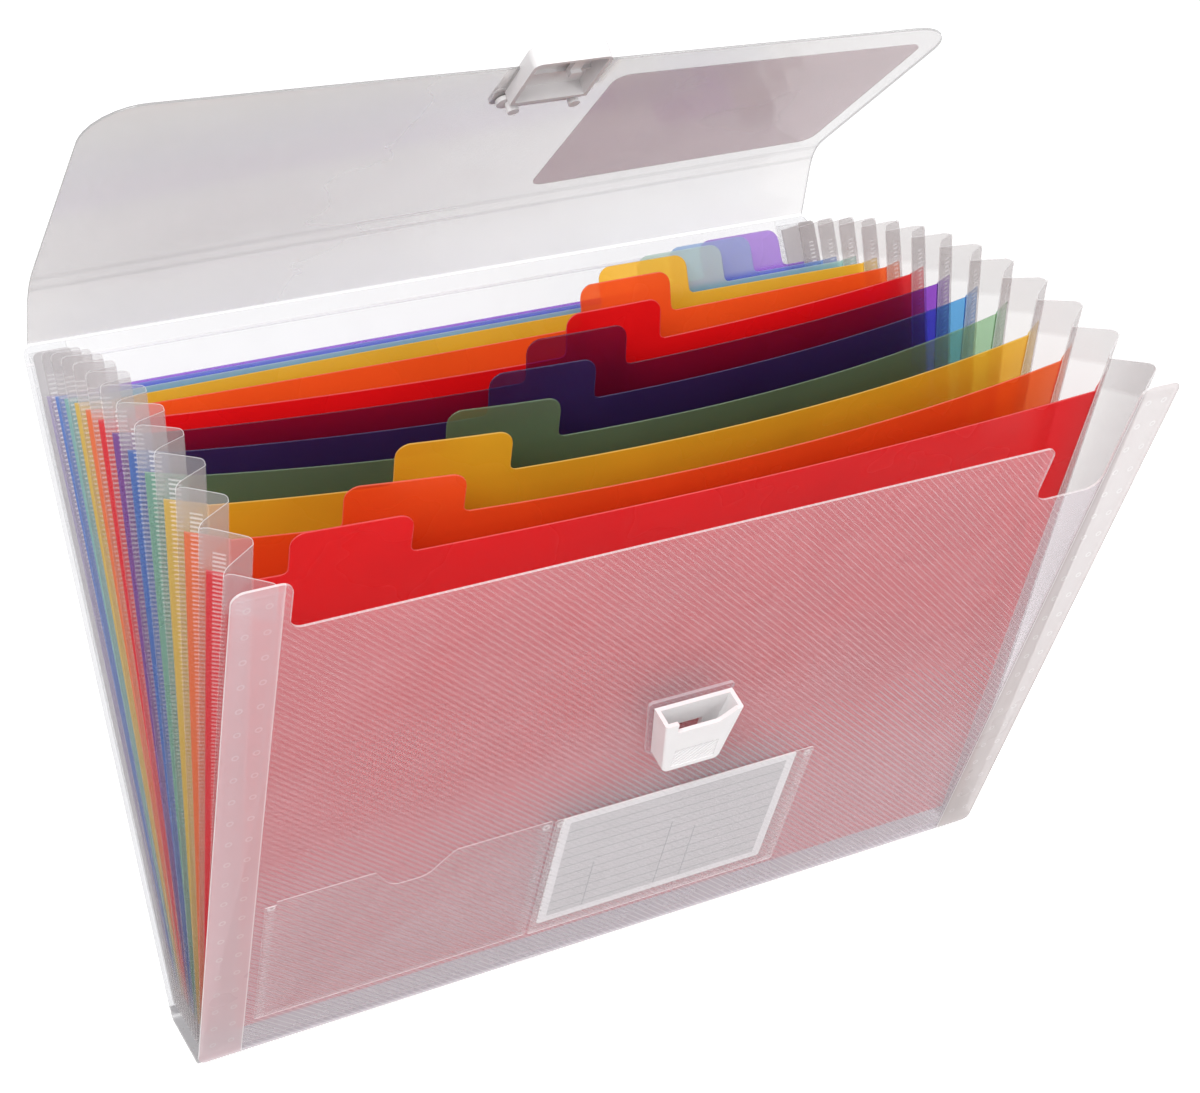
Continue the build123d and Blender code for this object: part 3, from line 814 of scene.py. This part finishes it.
def end_shell(number, side):
    """Grid that leaves the divider at its end and follows the pleat behind it for most of its width."""
    way = np.array([0, 0.03, 0.08, 0.2, 0.35, 0.5, 0.65, 0.78, end_way - 0.02, end_way])
    fold = 2 * number + way
    height = np.array([12, 12.4, *np.linspace(25, 220, 14), 226, 227.6, 228.0])[:, None]
    reach = gusset_reach(fold) - 0.5 * (1 - way / end_way)
    off = -end_off * np.minimum(way / 0.08, 1)
    points = fan_points(fold / fold_count, side * reach, height, off)
    mark = np.broadcast_arrays(side * (divider_half + end_width * way), height)
    return sheet_shell(points, np.stack(mark, -1), half=end_half_thick)


for number, name in enumerate(divider_names, 1):
    shells = [end_shell(number, -1), end_shell(number, 1)]
    colour, finish = divider_finish(number, name)
    piece = make_sheet("ends_" + name, shells, finish)
    way = (np.abs(np.concatenate([shell[2][:, 0] for shell in shells])) - divider_half) / end_width
    lean = fan_lean((2 * number + way) / fold_count)
    bend(piece, lean / fan_lean(number / pocket_count))
print("welded ends:", len(divider_names))

# %% [markdown]
# ## The flap
# The flap is the upper part of the casing's one sheet: a sharp crease at the back panel, a narrow
# spine, a soft bend and then the flap itself, which twists a little to the right. The section is found
# by adding up small steps along the sheet, each turned by the lean at that place. The lower piece and
# the upper one meet on the spine.

# %% Flap section
back_height, flap_half, flap_end, flap_round = 247.0, 163.0, 144.0, 20.0
spine_lean, spine_twist, flap_lean, flap_twist = -21.5, 6.6, -52.0, -3.4
bend_start, bend_end, flap_shift, flap_taper = 20.7, 40.7, 2.3, 5.0
twist_reach, shift_start = 157.0, 20.0
fine_step, fine_start, fold_half = 0.25, -2.0, 0.9


def soft_step(value, start, end):
    """S curve from 0 at start to 1 at end."""
    way = np.clip((value - start) / (end - start), 0, 1)
    return way * way * (3 - 2 * way)


def flap_points(x, run, off=0.0):
    """Points at a run along the sheet from the back panel's crease: the sum of steps whose lean goes from
    the back's to the spine's at the crease and softly on to the flap's, which changes along the file."""
    fine = np.arange(fine_start, flap_end + 2, fine_step)[:, None]
    first = spine_lean + spine_twist * x[0] / twist_reach
    last = flap_lean + flap_twist * x[0] / twist_reach
    lean = open_angle + (first - open_angle) * soft_step(fine, -fold_half, fold_half)
    lean = np.radians(lean + (last - first) * soft_step(fine, bend_start, bend_end))
    foot = fan_points(1.0, 0.0, back_height + fine_start)
    y = foot[1] + np.cumsum(np.sin(lean), 0) * fine_step
    z = foot[2] + np.cumsum(np.cos(lean), 0) * fine_step
    spot = (run - fine_start) / fine_step - 1
    lower = np.clip(np.floor(spot).astype(int), 0, len(fine) - 2)
    part = spot - lower

    def read(values):
        """Value at each point's run, straight between two fine steps."""
        start = np.take_along_axis(values, lower, 0)
        return start + part * (np.take_along_axis(values, lower + 1, 0) - start)

    tilt = read(lean)
    shift = flap_shift - flap_taper * np.minimum(x, 0) / flap_half
    x = x + shift * np.maximum(run - shift_start, 0) / (flap_end - shift_start)
    return np.stack([x, read(y) - off * np.cos(tilt), read(z) + off * np.sin(tilt)], -1)


flap_middle_end = flap_points(np.zeros((1, 1)), np.full((1, 1), flap_end))
print("flap middle ends at", np.round(flap_middle_end[0, 0], 1))

# %% Flap pieces
seam_run, notch_run, notch_left, notch_right = 16.0, 127.7, -12.8, 16.8
flap_inner, grid_near, casing_half_thick = 125.0, 0.01, 0.4
round_steps = flap_round * (1 - np.cos(np.radians([0, 4, 10, 20, 32, 45, 58, 70, 80, 90])))
flap_columns = np.concatenate([
    round_steps - flap_half, np.linspace(-flap_inner, notch_left, 18), np.linspace(-10, 14, 5),
    np.linspace(notch_right, flap_inner, 18), flap_half - round_steps[::-1],
])

spine_rows = np.array([-0.5, 0, 0.5, 1, 2, 4, 7, 10, 13, seam_run])
x, run = np.broadcast_arrays(flap_columns, spine_rows[:, None])
cut = np.ones(x.shape, bool)
cut[0, 1:-1], cut[-1, 1:-1] = False, False
shell = sheet_shell(flap_points(x, run), np.stack([x, run], -1), cut=cut, half=casing_half_thick)
lower_flap = make_sheet("flap_spine_sheet", [shell], casing_flap)
bend(lower_flap, soft_step(shell[2][:, 1], -0.5, 1.5))
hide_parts("flap_spine")

inset = np.minimum(flap_half - np.abs(flap_columns), flap_round)
end_run = flap_end - flap_round + np.sqrt(flap_round**2 - (flap_round - inset) ** 2)
notch_share = (notch_run - seam_run) / (flap_end - seam_run)
past_notch = np.linspace(notch_share, 0.985, 6)[1:]
rise = np.concatenate([np.linspace(0, notch_share, 36), past_notch, [0.997, 1.0]])
run = seam_run + rise[:, None] * (end_run - seam_run)
x = np.broadcast_to(flap_columns, run.shape)
cut = np.ones(x.shape, bool)
cut[0, 1:-1] = False
in_notch = (flap_columns[1:] <= notch_right + grid_near) & (flap_columns[:-1] >= notch_left - grid_near)
keep = ~((rise[1:, None] > notch_share + 0.001) & in_notch)
place = np.stack([x, run], -1)
shell = sheet_shell(flap_points(x, run), place, cut=cut, keep=keep, half=casing_half_thick)
upper_flap = make_sheet("flap_sheet", [shell], casing_flap)
bend(upper_flap, soft_step(shell[2][:, 1], bend_start, bend_end))
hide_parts("flap_panel")
print("flap faces:", len(lower_flap.data.polygons), len(upper_flap.data.polygons))

# %% [markdown]
# ## The label on the flap
# A smooth label is stuck on the outside of the flap and shows through it; its grey is painted shade, for the
# shade on its back. It lets some light pass, as thin film does. It is laid on the same section as the flap,
# half a millimetre further out, so it follows the twist.

# %% Flap label
# the greys of the label are painted shade: its back, seen through the flap, lies in shade
label_tint, label_dark, label_light = (0.88, 0.71, 0.75), (0.50, 0.46, 0.455), (0.56, 0.515, 0.51)
label_edge = (0.68, 0.65, 0.65)
label_left, label_right, label_low, label_high, label_round = 28.0, 156.0, 39.5, 129.0, 6.0
label_off, label_half_thick = 0.6, 0.1


def label_recipe(shade):
    """Film painted grey for the shade on its back: a soft cloud in share and colour, paler at its cut edges.
    """
    where, _, _, edge = sheet_place(shade)
    cloud = where.mottle(0.02)
    body = face_share(0.55) + (cloud - 0.5) * 0.1 + edge * 0.2
    colour = (edge * 0.5).mix(cloud.mix(label_dark, label_light), label_edge)
    return body, colour, 0.3 + cloud * 0.15, where.mottle(0.5) * 0.4


label_shade_grey = clear_sheet("flap_label_grey", label_tint, label_recipe)
label_steps = label_round * (1 - np.cos(np.radians([0, 15, 30, 45, 60, 75, 90])))
label_middle = np.linspace(label_left + label_round, label_right - label_round, 18)[1:-1]
columns = np.concatenate([label_left + label_steps, label_middle, label_right - label_steps[::-1]])
inset = np.minimum(np.minimum(columns - label_left, label_right - columns), label_round)
drop = label_round - np.sqrt(label_round**2 - (label_round - inset) ** 2)
rise = np.array([0, 0.005, *np.linspace(0.04, 0.96, 20), 0.995, 1])[:, None]
run = label_low + drop + rise * (label_high - label_low - 2 * drop)
x = np.broadcast_to(columns, run.shape)
place = np.stack([x, run], -1)
shell = sheet_shell(flap_points(x, run, -label_off), place, half=label_half_thick)
flap_label = make_sheet("flap_label_sheet", [shell], label_shade_grey)
bend(flap_label, soft_step(shell[2][:, 1], bend_start, bend_end))
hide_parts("flap_label")
print("flap label faces:", len(flap_label.data.polygons))

# %% [markdown]
# ## The base and its creases
# The base is part of the casing's one sheet, so its two long sides turn up into the covers. Each half
# is a section carried along the file: a low lip inside the cover's foot, the crease and the flat
# strip. The lip closes the corners that the stiff solids leave open.

# %% Base sheet
base_half, base_edge, base_half_thick, lip_off = 165.0, 0.4, 0.35, 0.8
lip_bend_start, lip_bend_end = 2.5, lip_height + 1.5


def base_shell(share):
    """Half of the base from a cover (share 0 or 1): lip, round crease and flat strip to the middle."""
    sign = 2 * share - 1
    heights = lip_height * np.array([1, 0.92, 0.65, 0.45, 0.3])
    lip = fan_points(share, 0.0, heights, lip_off * sign)[:, 1:]
    flat = np.array([[15.0, 0.9], [14.5, 0.55], [13.6, fold_height], [8, fold_height], [0, fold_height]])
    section = np.concatenate([lip, flat * (sign, 1)])
    length = np.linalg.norm(np.diff(section, axis=0), axis=1)
    run = np.concatenate([[0], np.cumsum(length)])
    side = base_half - np.array([0, base_edge, 5.0])
    x = np.concatenate([-side, np.linspace(-side[-1], side[-1], 9)[1:-1], side[::-1]])
    points = np.stack(np.broadcast_arrays(x, section[:, :1], section[:, 1:]), -1)
    cut = np.ones(points.shape[:2], bool)
    cut[-1, 1:-1] = False
    place = np.stack(np.broadcast_arrays(x, run[:, None]), -1)
    return sheet_shell(points, place, cut=cut, half=base_half_thick)


for share, cover in ((0, "front_cover"), (1, "back_cover")):
    shell = base_shell(share)
    piece = make_sheet("base_sheet_" + cover, [shell], casing_base)
    bend(piece, 1 - soft_step(shell[2][:, 1], lip_bend_start, lip_bend_end))
    if cover == "front_cover":
        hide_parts("base_strip")
print("base faces:", 2 * len(piece.data.polygons))

# %% [markdown]
# ## Floor, light and background
# The photograph is a plain studio picture on white. Soft light comes from all sides, so a pale world
# does most of the work and four large lamps give the shapes some direction. The background is white
# only for rays that reach the camera, straight or by reflection, and the floor keeps a soft shadow.

# %% World
white_light, soft_strength = (1, 1, 1, 1), 0.44


def camera_share(shade):
    """1 for rays from the camera, also after a mirror or clear plastic."""
    path = shade.tree.nodes.new("ShaderNodeLightPath")
    kinds = ("Is Camera Ray", "Is Glossy Ray", "Is Transmission Ray")
    straight, mirrored, passed = (Shade(shade.tree, path.outputs[kind]) for kind in kinds)
    return straight.most(mirrored).most(passed)


world = bpy.data.worlds.new("studio")
bpy.context.scene.world = world
world.use_nodes = True
world.node_tree.nodes.clear()
shade = Shade(world.node_tree)
soft = shade.node("ShaderNodeBackground", {}, {"Color": white_light, "Strength": soft_strength})
white = shade.node("ShaderNodeBackground", {}, {"Color": white_light, "Strength": 1.0})
mixed = shade.node("ShaderNodeMixShader", {}, {0: camera_share(shade), 1: soft, 2: white})
shade.node("ShaderNodeOutputWorld", {}, {"Surface": mixed})
print("world strength", soft_strength)

# %% Floor
floor_dark, floor_light, floor_glow = (0.66, 0.66, 0.66), (0.70, 0.70, 0.70), 0.66
floor_reach, floor_level, floor_rough, floor_gloss = 6.0, -0.0005, 0.9, 0.1

material, shade = new_material("floor_white")
where = object_place(shade)
glow = camera_share(shade).mix((0, 0, 0), (1, 1, 1))
paper = where.mottle(0.004).mix(floor_dark, floor_light)
surface = shade.node("ShaderNodeBsdfPrincipled", {}, {
    "Base Color": paper, "Roughness": floor_rough, "Specular IOR Level": floor_gloss,
    "Emission Color": glow, "Emission Strength": floor_glow,
})
shade.node("ShaderNodeOutputMaterial", {}, {"Surface": surface})
floor_mesh = bpy.data.meshes.new("floor")
corners = [(floor_reach * x, floor_reach * y, floor_level) for x, y in ((-1, -1), (1, -1), (1, 1), (-1, 1))]
floor_mesh.from_pydata(corners, [], [(0, 1, 2, 3)])
floor_mesh.materials.append(material)
material.cycles.emission_sampling = "NONE"
floor = bpy.data.objects.new("floor", floor_mesh)
bpy.context.scene.collection.objects.link(floor)
floor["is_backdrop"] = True
print("floor", 2 * floor_reach, "m wide")

# %% Lamps
lamp_aim = (0, 0, 0.15)


def soft_lamp(name, place, size, power):
    """Square lamp, its size in metres and its power in watts, that faces the middle of the file."""
    lamp = bpy.data.lights.new(name, "AREA")
    lamp.energy, lamp.size = power, size
    item = bpy.data.objects.new(name, lamp)
    bpy.context.scene.collection.objects.link(item)
    back = np.array(place, float) - np.array(lamp_aim)
    back /= np.linalg.norm(back)
    side = np.cross([0, 0, 1], back)
    side /= np.linalg.norm(side)
    turn = np.eye(4)
    turn[:3, :3] = np.stack([side, np.cross(back, side), back], 1)
    turn[:3, 3] = place
    item.matrix_world = Matrix(turn.tolist())


soft_lamp("key", (-1.1, -1.45, 1.62), 1.2, 37)
soft_lamp("fill", (0.76, -1.75, 0.65), 0.6, 5)
soft_lamp("side", (1.3, -0.9, 1.7), 1.0, 13)
soft_lamp("back", (0.4, 1.6, 1.5), 1.4, 5)
print("lamps:", len(bpy.data.lights))

# %% Clear films and light paths
# Pleats and thin films cast no shadow, because they would darken what stands behind them too much.
clear_films = ("front_weld_flanges", "back_weld_flanges", "label_film", "front_pocket_film")
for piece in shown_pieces():
    if piece.name.startswith("pleats") or piece.name in clear_films:
        piece.visible_shadow = False

scene = bpy.context.scene
scene.view_settings.view_transform = "Standard"
scene.cycles.transparent_max_bounces = 96
scene.cycles.max_bounces = 4
scene.cycles.diffuse_bounces = 3
scene.cycles.glossy_bounces = 3
print("bounces", scene.cycles.max_bounces, "and through clear sheets", scene.cycles.transparent_max_bounces)
